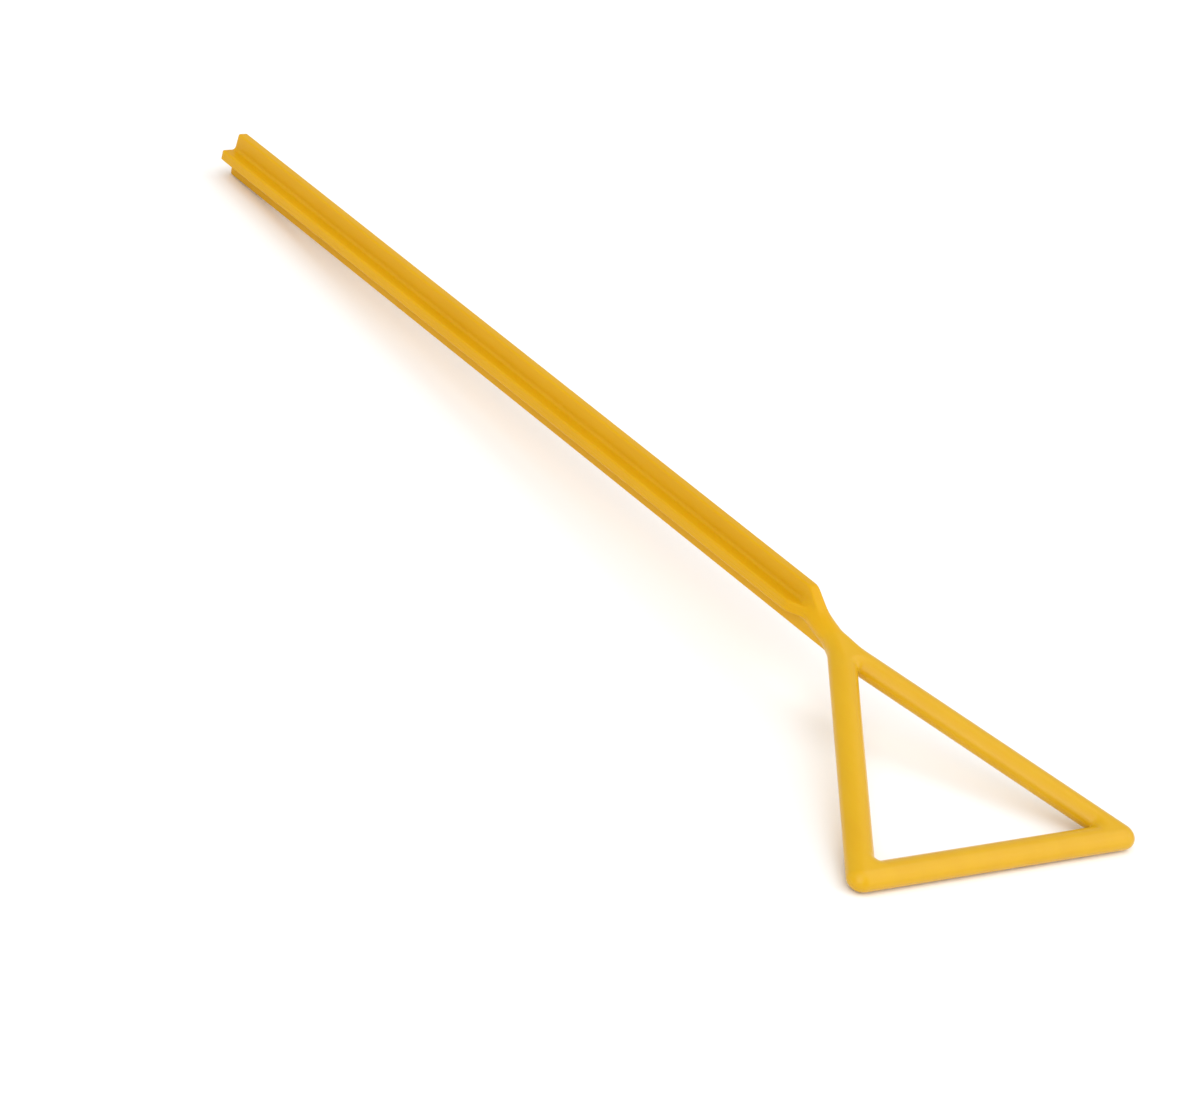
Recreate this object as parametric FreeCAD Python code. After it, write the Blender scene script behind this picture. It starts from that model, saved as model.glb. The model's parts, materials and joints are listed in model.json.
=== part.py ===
"""Delta cell spreader: one injection-moulded plastic piece.

A triangular spreading loop of oval rod, a short neck with the bend in it, and a long straight
handle of cross-shaped section. The piece is drawn with its loop flat in the XY plane, the loop's apex at
the origin and the handle towards +Y. It is then laid down as it comes to rest on a table: on the
loop's base rod and on the far end of the handle, with the bend raised.
"""

import FreeCAD, Part
import math
import os

# --- driving dimensions, millimetres and degrees -------------------------------------------------

SPREAD_WIDTH = 30.0        # across the loop's base, outside to outside
ROD_WIDTH = 2.5            # oval rod of the loop, in the plane of the loop
ROD_THICKNESS = 1.95       # oval rod of the loop, across that plane
ROD_SIDE_RADIUS = 0.75     # the oval's tight arcs, at the rod's sides
LOOP_INNER_RADIUS = 0.45   # inside corners of the loop

NECK_LENGTH = 4.7          # loop's apex to the bend
NECK_WIDTH = 2.1
NECK_THICKNESS = 1.9       # a little under the loop's, so that the two skins cross cleanly
NECK_FILLET = 0.6          # neck to loop
BEND_ANGLE = 15.7          # handle turned down out of the plane of the loop
BEND_RADIUS = 4.0

HANDLE_LENGTH = 91.2       # bend to the square-cut end
RIB_SPAN = 4.15            # over the upper and lower ribs
SIDE_RIB_SPAN = 3.84       # over the two side ribs
RIB_ROOT = 1.16            # thickness of the upper and lower ribs at the core
RIB_TIP = 0.96             # and at their tips: mould draft
SIDE_RIB_THICKNESS = 1.0
RIB_ROOT_FILLET = 0.3
RIB_TIP_FILLET = 0.16
HANDLE_END_FILLET = 0.1

UPPER_RAMP_START = -1.4    # foot of the ramp that ends the upper rib, along from the bend
UPPER_RAMP_END = 0.5
UPPER_RAMP_FOOT = 0.55     # its height there, just under the neck's skin
SIDE_RAMP_START = -0.6     # foot of the ramps that end the side ribs
SIDE_RAMP_END = 1.2
SIDE_RAMP_FOOT = 0.8       # half width there
RAMP_FILLET = 0.4          # where a ramp turns into its rib's tip
RUNOUT_START = -3.1        # the lower rib runs straight on past the bend, into the neck's underside
NOSE_LENGTH = 2.4          # the neck's nose fades into the four valleys of the handle
NOSE_TIP = 0.8             # across the end of the nose

# --- derived sizes -------------------------------------------------------------------------------

HALF_WIDTH = ROD_WIDTH / 2
HALF_THICKNESS = ROD_THICKNESS / 2
SIDE_OFFSET = HALF_WIDTH - ROD_SIDE_RADIUS      # middle of the rod to the centre of a tight arc
FLAT_RADIUS = ((SIDE_OFFSET ** 2 + HALF_THICKNESS ** 2 - ROD_SIDE_RADIUS ** 2)
               / (2 * (HALF_THICKNESS - ROD_SIDE_RADIUS)))   # the arc tangent to both tight ones
FLAT_OFFSET = FLAT_RADIUS - HALF_THICKNESS      # middle of the rod to the centre of a flat arc
FLAT_TURN = math.atan2(SIDE_OFFSET, FLAT_OFFSET)
LOOP_SIDE = SPREAD_WIDTH - ROD_WIDTH
LOOP_HEIGHT = LOOP_SIDE * math.sqrt(3) / 2
BEND_TANGENT = BEND_RADIUS * math.tan(math.radians(BEND_ANGLE / 2))
RIB_REACH = RIB_SPAN / 2
SIDE_RIB_REACH = SIDE_RIB_SPAN / 2

UP = FreeCAD.Vector(0, 0, 1)
RIGHT = FreeCAD.Vector(1, 0, 0)
AHEAD = FreeCAD.Vector(0, 1, 0)
APEX = FreeCAD.Vector(0, 0, 0)
BASE_LEFT = FreeCAD.Vector(-LOOP_SIDE / 2, -LOOP_HEIGHT, 0)
BASE_RIGHT = FreeCAD.Vector(LOOP_SIDE / 2, -LOOP_HEIGHT, 0)
BEND_POINT = AHEAD * NECK_LENGTH


def unit(vector):
    return FreeCAD.Vector(vector).normalize()


def joined(solids):
    """One clean solid from solids that meet or overlap."""
    return solids[0].fuse(solids[1:]).removeSplitter().Solids[0]


def polygon_face(points):
    return Part.Face(Part.makePolygon(points + points[:1]))


def rounded(solid, radius, middles):
    """The solid with a fillet on each edge whose middle is given."""
    edges = [edge for edge in solid.Edges for middle in middles if edge.CenterOfMass.isEqual(middle, 0.001)]
    return solid.makeFillet(radius, edges)


# --- spreading loop ------------------------------------------------------------------------------

def flat_arc_point(turn):
    """How far across and up from the rod's middle the flat arc is, at a turn away from its top."""
    return FLAT_RADIUS * math.sin(turn), FLAT_RADIUS * math.cos(turn) - FLAT_OFFSET


def half_oval(centre, outward):
    """Half of the rod's oval section, on its centre line: a flat arc, a tight arc and a flat arc."""
    flat = [flat_arc_point(turn) for turn in (0, FLAT_TURN / 2, FLAT_TURN)]
    upper = [centre + outward * across + UP * up for across, up in flat]
    lower = [centre + outward * across - UP * up for across, up in reversed(flat)]
    side = centre + outward * HALF_WIDTH
    arcs = [Part.Arc(*upper), Part.Arc(upper[2], side, lower[0]), Part.Arc(*lower)]
    return Part.Face(Part.Wire([arc.toShape() for arc in arcs] + [Part.makeLine(lower[2], upper[0])]))


def inner_corner(corner, to_next, to_last):
    """Rounded inside corner with its web: returns the pieces and the web's length along a rod."""
    bisector = unit(to_next + to_last)
    turn = LOOP_INNER_RADIUS + HALF_WIDTH
    centre = corner + bisector * (turn / math.sin(math.radians(30)))
    reach = turn / math.tan(math.radians(30))
    start = corner + to_next * reach
    end = corner + to_last * reach
    arc = Part.Arc(start, centre - bisector * turn, end).toShape()
    web = Part.Face(Part.Wire([Part.makeLine(corner, start), arc, Part.makeLine(end, corner)]))
    web.translate(UP * -HALF_THICKNESS)
    plate = web.extrude(UP * ROD_THICKNESS)
    fillet = half_oval(end, unit(centre - end)).revolve(centre, UP, 120)
    return [plate, fillet], reach


def spreading_loop():
    """Equilateral loop: the oval section carried round its three sides and three corners."""
    corners = [APEX, BASE_LEFT, BASE_RIGHT]
    pieces = []
    for index, corner in enumerate(corners):
        to_next = unit(corners[(index + 1) % 3] - corner)
        to_last = unit(corners[(index + 2) % 3] - corner)
        outward = to_next.cross(UP)
        corner_pieces, reach = inner_corner(corner, to_next, to_last)
        inner_start = corner + to_next * reach
        pieces += corner_pieces
        pieces.append(half_oval(corner, UP.cross(to_last)).revolve(corner, UP, 120))
        pieces.append(half_oval(corner, outward).extrude(to_next * LOOP_SIDE))
        pieces.append(half_oval(inner_start, outward * -1).extrude(to_next * (LOOP_SIDE - 2 * reach)))
    return joined(pieces)


# --- neck ----------------------------------------------------------------------------------------

def neck_section(width, thickness, place):
    """Oval outline across the neck at a place along its straight run."""
    side = place + RIGHT * (width / 2)
    top = place + UP * (thickness / 2)
    return Part.Wire([Part.Ellipse(side, top, place).toShape()])


def neck():
    """Oval rod swept from inside the loop's apex round the bend, up to the handle's frame."""
    start = AHEAD * -HALF_WIDTH
    bend_start = BEND_POINT - AHEAD * BEND_TANGENT
    half_turn = math.radians(BEND_ANGLE / 2)
    pivot = bend_start - UP * BEND_RADIUS
    middle = pivot + AHEAD * (BEND_RADIUS * math.sin(half_turn)) + UP * (BEND_RADIUS * math.cos(half_turn))
    bend_end = in_handle_place(AHEAD * BEND_TANGENT)
    path = Part.Wire([Part.makeLine(start, bend_start), Part.Arc(bend_start, middle, bend_end).toShape()])
    return path.makePipeShell([neck_section(NECK_WIDTH, NECK_THICKNESS, start)], True, True)


# --- handle, drawn along +Y from the bend and then turned down -----------------------------------

def in_handle_place(shape):
    """A point or a shape of the handle's own frame, put on the end of the neck."""
    placement = FreeCAD.Placement(BEND_POINT, FreeCAD.Rotation(RIGHT, -BEND_ANGLE))
    if isinstance(shape, FreeCAD.Vector):
        return placement.multVec(shape)
    shape.Placement = placement.multiply(shape.Placement)
    return shape


def nose():
    """End of the neck's rod, tapering away between the ribs."""
    start = AHEAD * BEND_TANGENT
    end = start + AHEAD * NOSE_LENGTH
    outlines = [neck_section(NECK_WIDTH, NECK_THICKNESS, start), neck_section(NOSE_TIP, NOSE_TIP * 0.99, end)]
    return Part.makeLoft(outlines, True, True)


def cross_bar():
    """Four-ribbed bar with drafted upper and lower ribs, filleted roots and rounded tips."""
    root = RIB_ROOT / 2
    tip = RIB_TIP / 2
    side = SIDE_RIB_THICKNESS / 2
    quarter = [(SIDE_RIB_REACH, side), (root, side), (tip, RIB_REACH)]
    upper = quarter + [(-x, z) for x, z in reversed(quarter)]
    outline = upper + [(-x, -z) for x, z in upper]
    face = polygon_face([FreeCAD.Vector(x, RUNOUT_START, z) for x, z in outline])
    bar = face.extrude(AHEAD * (HANDLE_LENGTH - RUNOUT_START))
    long_edges = [edge for edge in bar.Edges if edge.Length > HANDLE_LENGTH]
    tips = [edge for edge in long_edges if edge.CenterOfMass.distanceToLine(APEX, AHEAD) > SIDE_RIB_REACH]
    bar = bar.makeFillet(RIB_TIP_FILLET, tips)
    long_edges = [edge for edge in bar.Edges if edge.Length > HANDLE_LENGTH]
    roots = [edge for edge in long_edges if edge.CenterOfMass.distanceToLine(APEX, AHEAD) < root + side]
    return bar.makeFillet(RIB_ROOT_FILLET, roots)


def side_view():
    """Outline seen from the side: the upper rib ends in a ramp, the lower one runs straight on."""
    outline = [
        (RUNOUT_START, -RIB_REACH),
        (HANDLE_LENGTH, -RIB_REACH),
        (HANDLE_LENGTH, RIB_REACH),
        (UPPER_RAMP_END, RIB_REACH),
        (UPPER_RAMP_START, UPPER_RAMP_FOOT),
        (RUNOUT_START, -UPPER_RAMP_FOOT),
    ]
    face = polygon_face([FreeCAD.Vector(-RIB_SPAN, y, z) for y, z in outline])
    block = face.extrude(RIGHT * (2 * RIB_SPAN))
    return rounded(block, RAMP_FILLET, [FreeCAD.Vector(0, UPPER_RAMP_END, RIB_REACH)])


def top_view():
    """Outline seen from above: the side ribs end in ramps, and only the lower rib runs on."""
    half = [
        (RIB_ROOT / 2, RUNOUT_START),
        (RIB_ROOT / 2, SIDE_RAMP_START),
        (SIDE_RAMP_FOOT, SIDE_RAMP_START),
        (SIDE_RIB_REACH, SIDE_RAMP_END),
        (SIDE_RIB_REACH, HANDLE_LENGTH),
    ]
    outline = half + [(-x, y) for x, y in reversed(half)]
    face = polygon_face([FreeCAD.Vector(x, y, -RIB_SPAN) for x, y in outline])
    block = face.extrude(UP * (2 * RIB_SPAN))
    ramp_ends = [FreeCAD.Vector(x, SIDE_RAMP_END, 0) for x in (-SIDE_RIB_REACH, SIDE_RIB_REACH)]
    return rounded(block, RAMP_FILLET, ramp_ends)


def handle():
    """The bar cut to both views, with its square-cut far end eased all round."""
    bar = cross_bar().common(side_view()).common(top_view())
    end_edges = [edge for edge in bar.Edges if abs(edge.CenterOfMass.y - HANDLE_LENGTH) < 0.001]
    return bar.makeFillet(HANDLE_END_FILLET, end_edges)


# --- laid down at rest ---------------------------------------------------------------------------

def turned(point, tilt):
    """A point of the flat drawing after the bend is lifted by the tilt, in radians."""
    return FreeCAD.Rotation(RIGHT, math.degrees(tilt)).multVec(point)


def base_rod_bottom(tilt):
    """Height of the base rod's lowest line, which lies on the flat arc."""
    return turned(BASE_LEFT, tilt).z + FLAT_OFFSET * math.cos(tilt) - FLAT_RADIUS


def resting_tilt():
    """Tilt at which the base rod and the lower rib's far corner touch one level surface."""
    heel = in_handle_place(FreeCAD.Vector(0, HANDLE_LENGTH, -RIB_REACH))
    low = 0.0
    high = math.radians(BEND_ANGLE)
    for _ in range(40):
        middle = (low + high) / 2
        if turned(heel, middle).z < base_rod_bottom(middle):
            low = middle
        else:
            high = middle
    return (low + high) / 2


def laid_down(part):
    """Rest the part on z = 0 with the middle of its length and width over the origin."""
    tilt = resting_tilt()
    front = turned(BASE_LEFT, tilt).y - SIDE_OFFSET * math.cos(tilt) - ROD_SIDE_RADIUS
    back = turned(in_handle_place(FreeCAD.Vector(0, HANDLE_LENGTH, RIB_REACH)), tilt).y
    part.rotate(APEX, RIGHT, math.degrees(tilt))
    part.translate(FreeCAD.Vector(0, -(front + back) / 2, -base_rod_bottom(tilt)))
    return part


def loop_with_neck():
    """The loop and the neck, with a fillet all round the seam between them."""
    loop = spreading_loop()
    rod = neck()
    rods = joined([loop, rod])
    return rounded(rods, NECK_FILLET, [edge.CenterOfMass for edge in loop.section(rod).Edges])


def spreader():
    return joined([loop_with_neck(), in_handle_place(nose()), in_handle_place(handle())])


def main():
    part = laid_down(spreader())
    os.makedirs("parts", exist_ok=True)
    part.exportStep("parts/spreader.step")
    box = part.BoundBox
    sides = [round(side, 2) for side in (box.XLength, box.YLength, box.ZLength)]
    print("solids", len(part.Solids), "valid", part.isValid(), "volume", round(part.Volume, 1), "mm3")
    print("size", sides, "lowest", round(box.ZMin, 4))
    print("resting tilt", round(math.degrees(resting_tilt()), 3), "degrees")


if __name__ == "__main__":
    main()
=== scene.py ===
"""Looks of the cell spreader: its one moulded piece in yellow plastic, on a white board in soft light."""

import json
import math

import bpy
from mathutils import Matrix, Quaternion, Vector


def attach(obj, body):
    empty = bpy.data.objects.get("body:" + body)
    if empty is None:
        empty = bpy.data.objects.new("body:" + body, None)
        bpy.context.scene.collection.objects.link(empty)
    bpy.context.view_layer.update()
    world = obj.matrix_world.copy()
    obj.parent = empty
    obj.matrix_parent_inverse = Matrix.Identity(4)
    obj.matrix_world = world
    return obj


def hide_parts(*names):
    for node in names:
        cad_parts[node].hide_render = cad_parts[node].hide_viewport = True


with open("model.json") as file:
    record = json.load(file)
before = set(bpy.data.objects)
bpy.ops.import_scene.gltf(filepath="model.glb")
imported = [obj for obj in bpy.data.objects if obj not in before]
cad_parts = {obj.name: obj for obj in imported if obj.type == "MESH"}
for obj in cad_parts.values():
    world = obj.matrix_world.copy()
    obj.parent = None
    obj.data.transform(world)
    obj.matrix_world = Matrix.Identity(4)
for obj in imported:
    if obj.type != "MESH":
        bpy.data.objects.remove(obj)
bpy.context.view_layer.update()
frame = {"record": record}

MM = 0.001
ROOT_THREE = math.sqrt(3)

# --- sizes of the moulding, millimetres and degrees ----------------------------------------------
# Each is a named input of the moulding's geometry tree.

SIZES = {
    "Spreading width": 30.0,
    "Rod width": 2.5,
    "Rod thickness": 1.95,
    "Rod side radius": 0.75,
    "Inner corner radius": 0.2,
    "Neck length": 4.7,
    "Neck width": 2.1,
    "Neck thickness": 1.9,
    "Neck fillet": 0.6,
    "Bend angle": 15.7,
    "Bend rounding": 0.15,
    "Handle length": 91.2,
    "Rib span": 4.15,
    "Side rib span": 3.84,
    "Rib thickness at root": 1.16,
    "Rib thickness at tip": 0.96,
    "Side rib thickness": 1.0,
    "Rib root fillet": 0.3,
    "Rib tip fillet": 0.16,
    "Handle end fillet": 0.12,
    "Upper ramp start": -1.4,
    "Upper ramp end": 0.5,
    "Upper ramp foot": 0.55,
    "Side ramp start": -0.6,
    "Side ramp end": 1.2,
    "Side ramp foot": 0.8,
    "Ramp fillet": 0.4,
    "Lower rib start": -3.1,
    "Neck to rib blend": 0.35,
}

# The neck's nose narrows inside the handle's core between these places along it.
NOSE_FROM = 0.55
NOSE_TO = 2.95
NOSE_TIP = 0.38         # its size at the tip, as a share of the neck's

APEX_THINNING = 1.5     # the thickness goes from the loop's to the neck's over this length past the apex

# --- the grid that the skin is meshed on, millimetres ----------------------------------------------

CELL = 0.105
MARGIN = 4 * CELL       # room left round the moulding
GRID_AHEAD = 29.4       # the grid's reach from the bend: ahead, past the loop
GRID_BELOW = 9.2        # and downwards
STRETCH = 9.0           # the cells are this much longer over the handle's plain part
PLAIN_FROM = 4.5        # which lies between these two places along the handle
PLAIN_TO = 89.5
PROJECTIONS = 3         # times the mesh is drawn onto the exact skin
LONGEST_STEP = 0.04     # and the furthest a point moves each time

GRIP_REACH = 0.75 * SIZES["Handle length"]      # from the bend to the grip mount

# --- the plastic's finish --------------------------------------------------------------------------

# The handle's two colours are a deeper, more orange yellow than the loop's: painted shade standing in for the
# shade and bounce light between its ribs.
LOOP_DEEP = (0.640, 0.354, 0.0034, 1.0)
LOOP_LIGHT = (0.668, 0.378, 0.0048, 1.0)
HANDLE_DEEP_PAINTED_SHADE = (0.650, 0.342, 0.0026, 1.0)
HANDLE_LIGHT_PAINTED_SHADE = (0.682, 0.366, 0.0038, 1.0)
# Between these places the loop's colour also gives way to the handle's painted shade.
LOOP_FINISH_AND_SHADE_TO = -5.0       # the loop's finish gives way to the handle's between these two places
HANDLE_FINISH_AND_SHADE_FROM = -1.5   # along the handle, millimetres
SEAM_FLAT = 0.02            # half width of the parting line's top, millimetres
SEAM_FOOT = 0.07            # and of its foot

# Relief, in microns.
LOOP_GRAIN = 1.0
HANDLE_EXTRA_GRAIN = 3.0
DRAWN_LINES = 4.0
WAVINESS = 22.0
SEAM_HEIGHT = 14.0
MICRON = 0.001 * MM


# --- a small language for node trees -------------------------------------------------------------

class Value:
    """A number that varies from place to place. An expression on it adds its Math nodes."""

    def __init__(self, graph, socket):
        self.graph = graph
        self.socket = socket

    def __add__(self, other):
        return self.graph.maths("ADD", self, other)

    __radd__ = __add__

    def __sub__(self, other):
        return self.graph.maths("SUBTRACT", self, other)

    def __rsub__(self, other):
        return self.graph.maths("SUBTRACT", other, self)

    def __mul__(self, other):
        return self.graph.maths("MULTIPLY", self, other)

    __rmul__ = __mul__

    def __truediv__(self, other):
        return self.graph.maths("DIVIDE", self, other)

    def __neg__(self):
        return self.graph.maths("MULTIPLY", self, -1.0)

    def __abs__(self):
        return self.graph.maths("ABSOLUTE", self)


class Graph:
    """A node tree under construction."""

    def __init__(self, tree):
        self.tree = tree

    def node(self, kind, settings=None, inputs=None):
        """Any node: its type, its settings, and the values or links of its sockets."""
        node = self.tree.nodes.new(kind)
        for name, setting in (settings or {}).items():
            setattr(node, name, setting)
        for key, value in (inputs or {}).items():
            self.feed(node.inputs[key], value)
        return node

    def feed(self, socket, value):
        if isinstance(value, Value):
            value = value.socket
        if isinstance(value, bpy.types.NodeSocket):
            self.tree.links.new(value, socket)
        else:
            socket.default_value = value

    def maths(self, operation, *values):
        node = self.node("ShaderNodeMath", {"operation": operation}, dict(enumerate(values)))
        return Value(self, node.outputs[0])

    def least(self, first, *others):
        for other in others:
            first = self.maths("MINIMUM", first, other)
        return first

    def most(self, first, *others):
        for other in others:
            first = self.maths("MAXIMUM", first, other)
        return first

    def hypot(self, x, y):
        return self.maths("SQRT", x * x + y * y)

    def above_middle(self, along, height, sine, cosine, rounding):
        """Height above the middle surface, which is level in the handle and bends down for the loop."""
        return self.maths("SMOOTH_MAX", height * cosine - along * sine, height, rounding)

    def between(self, value, low, high, at_low, at_high, fade="LINEAR"):
        """A value that goes from one number to another as another value goes from low to high."""
        fading = self.node("ShaderNodeMapRange", {"interpolation_type": fade},
                           {0: value, 1: low, 2: high, 3: at_low, 4: at_high})
        return Value(self, fading.outputs[0])


# --- the moulding's skin ---------------------------------------------------------------------------
# It is a signed distance in millimetres, in the handle's own axes: +Y along the handle from the bend,
# which is the origin, +Z up the upper rib, and the loop ahead of the bend, towards -Y.

class Moulding(Graph):

    def __init__(self, tree):
        super().__init__(tree)
        given = self.node("NodeGroupInput")
        self.size = {name: Value(self, given.outputs[name]) for name in SIZES}
        position = self.node("GeometryNodeInputPosition").outputs[0]
        place = self.node("ShaderNodeSeparateXYZ", inputs={0: position})
        self.across = abs(Value(self, place.outputs[0]))
        self.packed = Value(self, place.outputs[1])
        self.along = self.unpack(self.packed)
        self.height = Value(self, place.outputs[2])

    def unpack(self, packed):
        """Place along the handle for a place in the grid, whose cells are stretched over the plain part."""
        within = self.least(self.most(packed - PLAIN_FROM, 0.0), (PLAIN_TO - PLAIN_FROM) / STRETCH)
        return packed + within * (STRETCH - 1)

    def round_union(self, a, b, radius):
        """Distance to two shapes joined, with a round fillet where they meet."""
        fillet = self.hypot(self.most(radius - a, 0.0), self.most(radius - b, 0.0))
        return self.most(radius, self.least(a, b)) - fillet

    def round_cut(self, a, b, radius):
        """Distance to what two shapes share, with a rounded edge where they meet."""
        rounding = self.hypot(self.most(a + radius, 0.0), self.most(b + radius, 0.0))
        return self.least(-radius, self.most(a, b)) + rounding

    def triangle(self, x, y, half_side):
        """Signed distance, in its plane, to an equilateral triangle round the origin."""
        x = x - half_side
        y = y + half_side / ROOT_THREE
        beyond = self.maths("GREATER_THAN", x + y * ROOT_THREE, 0.0)
        folded_x = (x - y * ROOT_THREE) / 2
        folded_y = (x * -ROOT_THREE - y) / 2
        x = x + (folded_x - x) * beyond
        y = y + (folded_y - y) * beyond
        x = x - self.most(self.least(x, 0.0), half_side * -2)
        return -self.hypot(x, y) * self.maths("SIGN", y)

    def oval(self, x, z):
        """Distance to the rod's section: tight arcs at its sides, flat arcs above and below."""
        side = self.size["Rod side radius"]
        thick = self.size["Rod thickness"] / 2
        offset = self.size["Rod width"] / 2 - side
        flat = (offset * offset + thick * thick - side * side) / ((thick - side) * 2)
        drop = flat - thick
        z = abs(z)
        on_flat = self.maths("LESS_THAN", x * drop, (z + drop) * offset)
        to_flat = self.hypot(x, z + drop) - flat
        to_side = self.hypot(x - offset, z) - side
        return to_side + (to_flat - to_side) * on_flat

    def loop_and_neck(self):
        """The rods: the loop's three, the neck that leaves its apex, and the nose inside the handle."""
        size = self.size
        half_rod = size["Rod width"] / 2
        half_side = (size["Spreading width"] - size["Rod width"]) / 2
        turn = size["Inner corner radius"] + half_rod
        bend = self.maths("RADIANS", size["Bend angle"])
        sine, cosine = self.maths("SINE", bend), self.maths("COSINE", bend)
        past_apex = self.along * cosine + self.height * sine + size["Neck length"]
        from_middle = past_apex + half_side * (2 / ROOT_THREE)
        outside = self.triangle(self.across, from_middle, half_side)
        inside = turn - self.triangle(self.across, from_middle, half_side - turn * ROOT_THREE)
        loop = self.most(inside, outside, 0.0) / half_rod
        nose = self.between(self.along, NOSE_FROM, NOSE_TO, 1.0, NOSE_TIP)
        neck = self.most(self.across / (size["Neck width"] / 2 * nose), -past_apex / half_rod)
        rods = self.most(self.round_union(loop - 1, neck - 1, size["Neck fillet"] / half_rod) + 1, 0.0)
        neck_thickness = size["Neck thickness"] * nose
        in_loop = self.between(past_apex, 0.0, APEX_THINNING, 1.0, 0.0, "SMOOTHSTEP")
        thickness = neck_thickness + (size["Rod thickness"] - neck_thickness) * in_loop
        above = self.above_middle(self.along, self.height, sine, cosine, size["Bend rounding"])
        skin = self.oval(rods * half_rod, above * size["Rod thickness"] / thickness)
        return self.most(skin, self.along - NOSE_TO)

    def ramp(self, along, out, rib):
        """Distance outside a rib's ramp, which climbs from its foot to the rib's full reach."""
        size = self.size
        reach = size["Rib span" if rib == "Upper" else "Side rib span"] / 2
        end = size[rib + " ramp end"]
        run = end - size[rib + " ramp start"]
        rise = reach - size[rib + " ramp foot"]
        slanted = ((out - reach) * run - (along - end) * rise) / self.hypot(rise, run)
        return self.maths("SMOOTH_MAX", out - reach, slanted, size["Ramp fillet"])

    def handle(self):
        """The four-ribbed bar: drafted upper and lower ribs, plain side ribs, ramps towards the neck."""
        size = self.size
        tip = size["Rib tip fillet"]
        reach = size["Rib span"] / 2
        half_side_rib = size["Side rib thickness"] / 2
        tall = abs(self.height)
        draft = (size["Rib thickness at root"] - size["Rib thickness at tip"]) / 2 / (reach - half_side_rib)
        flank = self.across - size["Rib thickness at root"] / 2 + (tall - half_side_rib) * draft
        tips = self.most(-self.height - reach, self.ramp(self.along, self.height, "Upper"))
        upright = self.round_cut(flank, tips, tip)
        side = self.round_cut(tall - half_side_rib, self.ramp(self.along, self.across, "Side"), tip)
        bar = self.round_union(upright, side, size["Rib root fillet"])
        bar = self.most(bar, size["Lower rib start"] - self.along)
        return self.round_cut(bar, self.along - size["Handle length"], size["Handle end fillet"])

    def skin(self):
        return self.maths("SMOOTH_MIN", self.loop_and_neck(), self.handle(), self.size["Neck to rib blend"])

    def moved(self, mesh, offset):
        """The mesh with each of its points moved by that point's offset."""
        return self.node("GeometryNodeSetPosition", inputs={"Geometry": mesh, "Offset": offset}).outputs[0]


def moulding_tree(material, bend, slope):
    """Geometry tree that meshes the moulding's skin and lays it down in the frame."""
    tree = bpy.data.node_groups.new("cell spreader moulding", "GeometryNodeTree")
    tree.interface.new_socket("Geometry", in_out="OUTPUT", socket_type="NodeSocketGeometry")
    for name, value in SIZES.items():
        socket = tree.interface.new_socket(name, in_out="INPUT", socket_type="NodeSocketFloat")
        socket.default_value = value
    graph = Moulding(tree)
    skin = graph.skin()
    half_width = SIZES["Spreading width"] / 2 + MARGIN
    packed_end = SIZES["Handle length"] - (PLAIN_TO - PLAIN_FROM) * (1 - 1 / STRETCH)
    low = Vector((-half_width, -GRID_AHEAD, -GRID_BELOW))
    high = Vector((half_width, packed_end + MARGIN, SIZES["Rib span"] / 2 + MARGIN))
    cells = [math.ceil(length / CELL) for length in high - low]
    grid = graph.node("GeometryNodeVolumeCube", inputs={
        "Density": -skin, "Background": -1.0, "Min": low, "Max": high,
        "Resolution X": cells[0], "Resolution Y": cells[1], "Resolution Z": cells[2]})
    mesher = graph.node("GeometryNodeVolumeToMesh", inputs={"Volume": grid.outputs[0], "Threshold": 0.0})
    made = mesher.outputs[0]
    for _ in range(PROJECTIONS):
        step = graph.least(graph.most(-skin, -LONGEST_STEP), LONGEST_STEP)
        normal = graph.node("GeometryNodeInputNormal").outputs[0]
        offset = graph.node("ShaderNodeVectorMath", {"operation": "SCALE"}, {0: normal, "Scale": step})
        made = graph.moved(made, offset.outputs[0])
    stretch = graph.node("ShaderNodeCombineXYZ", inputs={1: graph.along - graph.packed})
    made = graph.moved(made, stretch.outputs[0])
    laid = graph.node("GeometryNodeTransform", inputs={
        "Geometry": made, "Translation": bend, "Rotation": (-slope, 0.0, 0.0), "Scale": (MM, MM, MM)})
    smooth = graph.node("GeometryNodeSetShadeSmooth", inputs={"Geometry": laid.outputs[0]})
    real = graph.node("GeometryNodeRealizeInstances", inputs={"Geometry": smooth.outputs[0]})
    dressed = graph.node("GeometryNodeSetMaterial", inputs={
        "Geometry": real.outputs[0], "Material": material})
    graph.node("NodeGroupOutput", inputs={0: dressed.outputs[0]})
    return tree


def handle_line():
    """The bend's place and the handle's downward slope, from the grip mount on the handle's axis."""
    grip = next(mount for mount in frame["record"]["mounts"] if mount["name"] == "handle_grip")
    axis = Vector(grip["axis"]).normalized()
    return Vector(grip["pos_m"]) - axis * GRIP_REACH * MM, math.atan2(-axis.z, axis.y)


def moulding(material, bend, slope):
    """The whole spreader as one plain mesh."""
    blank = bpy.data.objects.new("blank", bpy.data.meshes.new("blank"))
    bpy.context.scene.collection.objects.link(blank)
    shaping = blank.modifiers.new("moulding", "NODES")
    shaping.node_group = moulding_tree(material, bend, slope)
    for item in shaping.node_group.interface.items_tree:
        if item.in_out == "INPUT":
            shaping[item.identifier] = SIZES[item.name]
    mesh = bpy.data.meshes.new_from_object(blank.evaluated_get(bpy.context.evaluated_depsgraph_get()))
    bpy.data.objects.remove(blank)
    piece = bpy.data.objects.new("moulded_spreader", mesh)
    bpy.context.scene.collection.objects.link(piece)
    return piece


# --- finishes --------------------------------------------------------------------------------------

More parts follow.
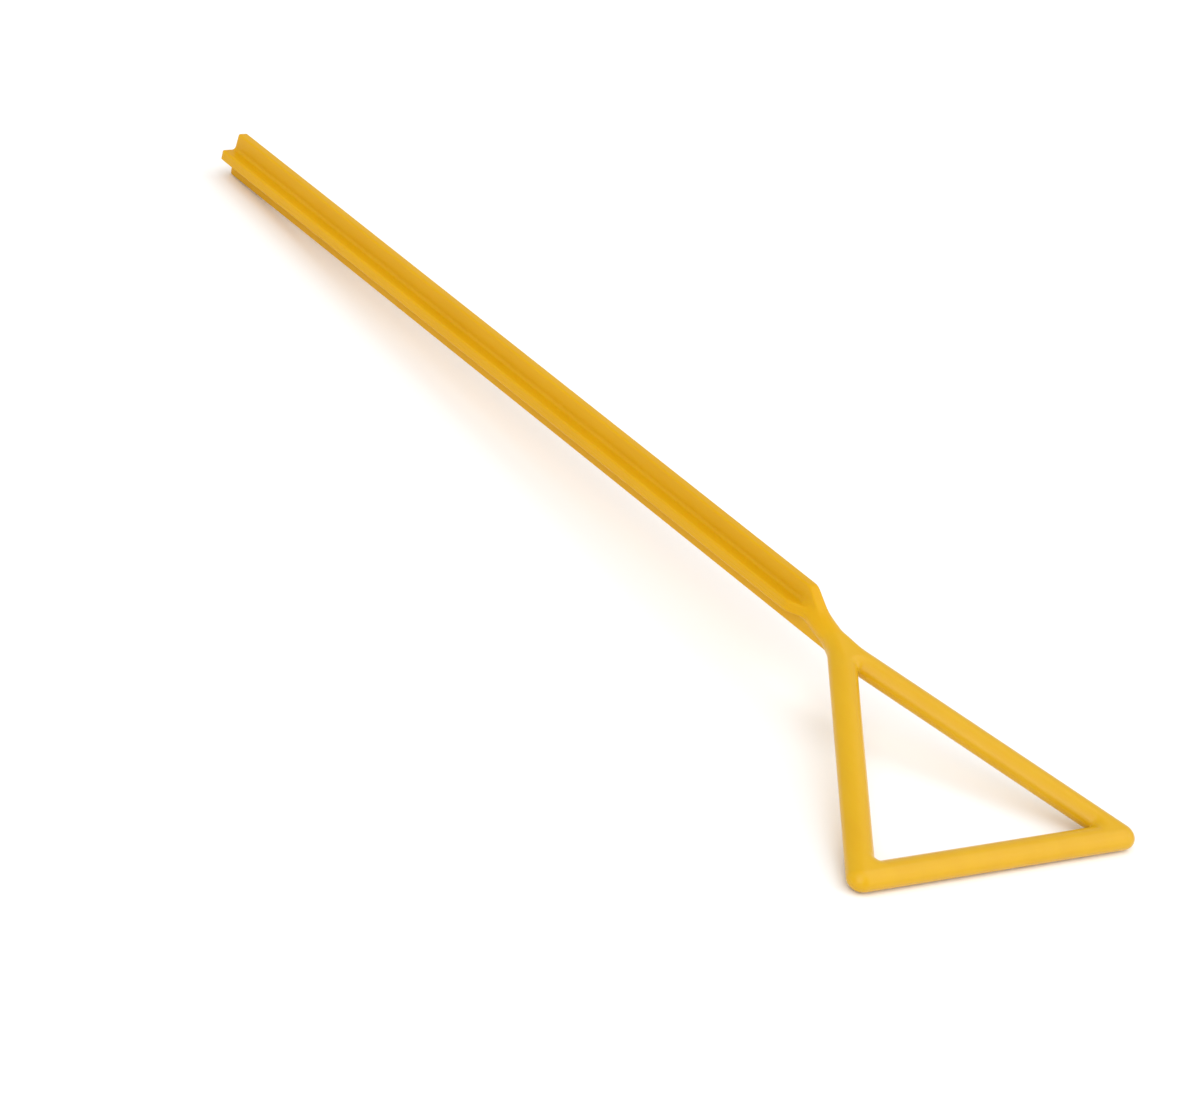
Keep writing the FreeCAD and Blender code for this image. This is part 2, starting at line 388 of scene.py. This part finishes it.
class Finish(Graph):
    """A material whose patterns are set out in the handle's own millimetres."""

    def __init__(self, name, bend=Vector(), slope=0.0):
        self.material = bpy.data.materials.new(name)
        self.material.use_nodes = True
        super().__init__(self.material.node_tree)
        self.shader = self.tree.nodes["Principled BSDF"]
        place = self.node("ShaderNodeTexCoord").outputs["Object"]
        from_bend = self.node("ShaderNodeVectorMath", {"operation": "SUBTRACT"}, {0: place, 1: bend})
        level = self.node("ShaderNodeVectorRotate", {"rotation_type": "X_AXIS"},
                          {"Vector": from_bend.outputs[0], "Angle": slope})
        in_mm = self.node("ShaderNodeVectorMath", {"operation": "SCALE"},
                          {0: level.outputs[0], "Scale": 1 / MM})
        self.place = in_mm.outputs[0]

    def noise(self, grains, detail=1.0, along=1.0):
        """Noise from 0 to 1, with so many grains a millimetre, and so many times as many along the handle."""
        place = self.node("ShaderNodeVectorMath", {"operation": "MULTIPLY"},
                          {0: self.place, 1: (1.0, along, 1.0)})
        noise = self.node("ShaderNodeTexNoise", {"noise_dimensions": "3D"},
                          {"Vector": place.outputs[0], "Scale": grains, "Detail": detail})
        return Value(self, noise.outputs[0])

    def blend(self, factor, first, second):
        mix = self.node("ShaderNodeMix", {"data_type": "RGBA"}, {"Factor": factor, "A": first, "B": second})
        return mix.outputs["Result"]


def yellow_plastic(bend, slope):
    """Golden yellow plastic, a little translucent, so deeper in colour where it is thick.

    The handle is a dull satin with lines drawn along it, and the loop is smoother and glossier. The handle's
    colour is a deeper orange than the loop's, which is painted shade for the shade and bounce light between
    its ribs.
    """
    finish = Finish("golden yellow plastic", bend, slope)
    shader = finish.shader
    place = finish.node("ShaderNodeSeparateXYZ", inputs={0: finish.place})
    along, height = Value(finish, place.outputs[1]), Value(finish, place.outputs[2])
    angle = math.radians(SIZES["Bend angle"])
    above = finish.above_middle(along, height, math.sin(angle), math.cos(angle), SIZES["Bend rounding"])
    handle = finish.between(along, LOOP_FINISH_AND_SHADE_TO, HANDLE_FINISH_AND_SHADE_FROM, 0.0, 1.0, "SMOOTHSTEP")
    streaks = finish.noise(0.5, 2.0, along=0.08)
    clouds = finish.noise(0.16)
    tint = finish.between(streaks * 0.6 + clouds * 0.4, 0.35, 0.65, 0.0, 1.0)
    # The handle's colours carry painted shade for the shade between its ribs. The tint between deep and light
    # is the plastic's own.
    deep = finish.blend(handle, LOOP_DEEP, HANDLE_DEEP_PAINTED_SHADE)
    light = finish.blend(handle, LOOP_LIGHT, HANDLE_LIGHT_PAINTED_SHADE)
    colour = finish.blend(tint, deep, light)
    seam = finish.between(abs(above), SEAM_FLAT, SEAM_FOOT, 1.0, 0.0, "SMOOTHSTEP")
    grain = finish.noise(8.0, 2.0)
    lines = finish.noise(7.0, 2.0, along=0.012)
    waves = finish.noise(0.4)
    mottle = finish.noise(1.1, 2.0)
    fine = grain * (handle * HANDLE_EXTRA_GRAIN + LOOP_GRAIN) + lines * handle * DRAWN_LINES
    relief = fine + waves * WAVINESS + seam * SEAM_HEIGHT
    bump = finish.node("ShaderNodeBump", inputs={"Strength": 1.0, "Distance": MICRON, "Height": relief})
    finish.feed(shader.inputs["Base Color"], colour)
    finish.feed(shader.inputs["Roughness"], mottle * 0.08 + handle * 0.05 + 0.27)
    finish.feed(shader.inputs["Normal"], bump.outputs[0])
    shader.inputs["IOR"].default_value = 1.47
    shader.inputs["Specular IOR Level"].default_value = 0.16
    finish.feed(shader.inputs["Coat Weight"], (mottle * 0.1 + 0.27) * (1 - handle))
    shader.inputs["Coat IOR"].default_value = 1.47
    shader.inputs["Coat Roughness"].default_value = 0.28
    shader.inputs["Subsurface Weight"].default_value = 0.12
    shader.inputs["Subsurface Radius"].default_value = (1.0, 0.45, 0.06)
    shader.inputs["Subsurface Scale"].default_value = 0.9 * MM
    return finish.material


def white_board():
    """The matt white board the spreader lies on."""
    finish = Finish("matt white board")
    finish.shader.inputs["Base Color"].default_value = (0.96, 0.96, 0.96, 1.0)
    finish.feed(finish.shader.inputs["Roughness"], finish.between(finish.noise(0.02), 0.3, 0.7, 0.85, 0.95))
    finish.shader.inputs["Specular IOR Level"].default_value = 0.1
    return finish.material


# --- table, light and camera ---------------------------------------------------------------------

def table():
    half = 4.0      # metres
    corners = [(-half, -half, 0), (half, -half, 0), (half, half, 0), (-half, half, 0)]
    mesh = bpy.data.meshes.new("table")
    mesh.from_pydata(corners, [], [(0, 1, 2, 3)])
    mesh.materials.append(white_board())
    floor = bpy.data.objects.new("table", mesh)
    bpy.context.scene.collection.objects.link(floor)
    return floor


def camera():
    """A long lens looking down on the spreader from beyond the loop's left corner, a little rolled."""
    heading, elevation, roll = math.radians(42.393), math.radians(27.239), math.radians(16.289)
    aim = Vector((0.586, -3.664, -4.490)) * MM
    distance = 476.49 * MM
    ahead = Vector((math.sin(heading) * math.cos(elevation), math.cos(heading) * math.cos(elevation),
                    -math.sin(elevation)))
    data = bpy.data.cameras.new("camera")
    data.sensor_width = 36.0
    data.lens = 164.20
    data.clip_start = 0.01
    data.clip_end = 20.0
    eye = bpy.data.objects.new("camera", data)
    bpy.context.scene.collection.objects.link(eye)
    eye.location = aim - ahead * distance
    eye.rotation_mode = "QUATERNION"
    eye.rotation_quaternion = ahead.to_track_quat("-Z", "Y") @ Quaternion((0, 0, 1), roll)
    bpy.context.scene.camera = eye


def softbox(name, towards, spread, strength):
    """A far softbox: the direction it stands in, how many degrees across it looks, and the light it gives."""
    data = bpy.data.lights.new(name, "SUN")
    data.angle = math.radians(spread)
    data.energy = strength
    lamp = bpy.data.objects.new(name, data)
    lamp.rotation_euler = Vector(towards).to_track_quat("Z", "Y").to_euler()
    bpy.context.scene.collection.objects.link(lamp)


def studio():
    world = bpy.data.worlds.new("studio")
    bpy.context.scene.world = world
    world.use_nodes = True
    room = world.node_tree.nodes["Background"]
    room.inputs["Color"].default_value = (1.0, 1.0, 1.0, 1.0)
    room.inputs["Strength"].default_value = 0.58
    softbox("overhead softbox", (-0.35, -0.35, 0.87), 56, 0.92)
    softbox("key softbox", (0.53, -0.17, 0.83), 50, 0.70)
    softbox("right softbox", (0.77, -0.54, 0.34), 42, 0.54)
    softbox("left softbox", (-0.75, 0.47, 0.47), 42, 0.15)
    softbox("near softbox", (-0.61, -0.61, 0.51), 44, 0.77)
    bpy.context.scene.view_settings.view_transform = "Standard"


BEND, SLOPE = handle_line()
spreader = moulding(yellow_plastic(BEND, SLOPE), BEND, SLOPE)
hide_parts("spreader")
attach(spreader, "root")
table()
studio()
camera()
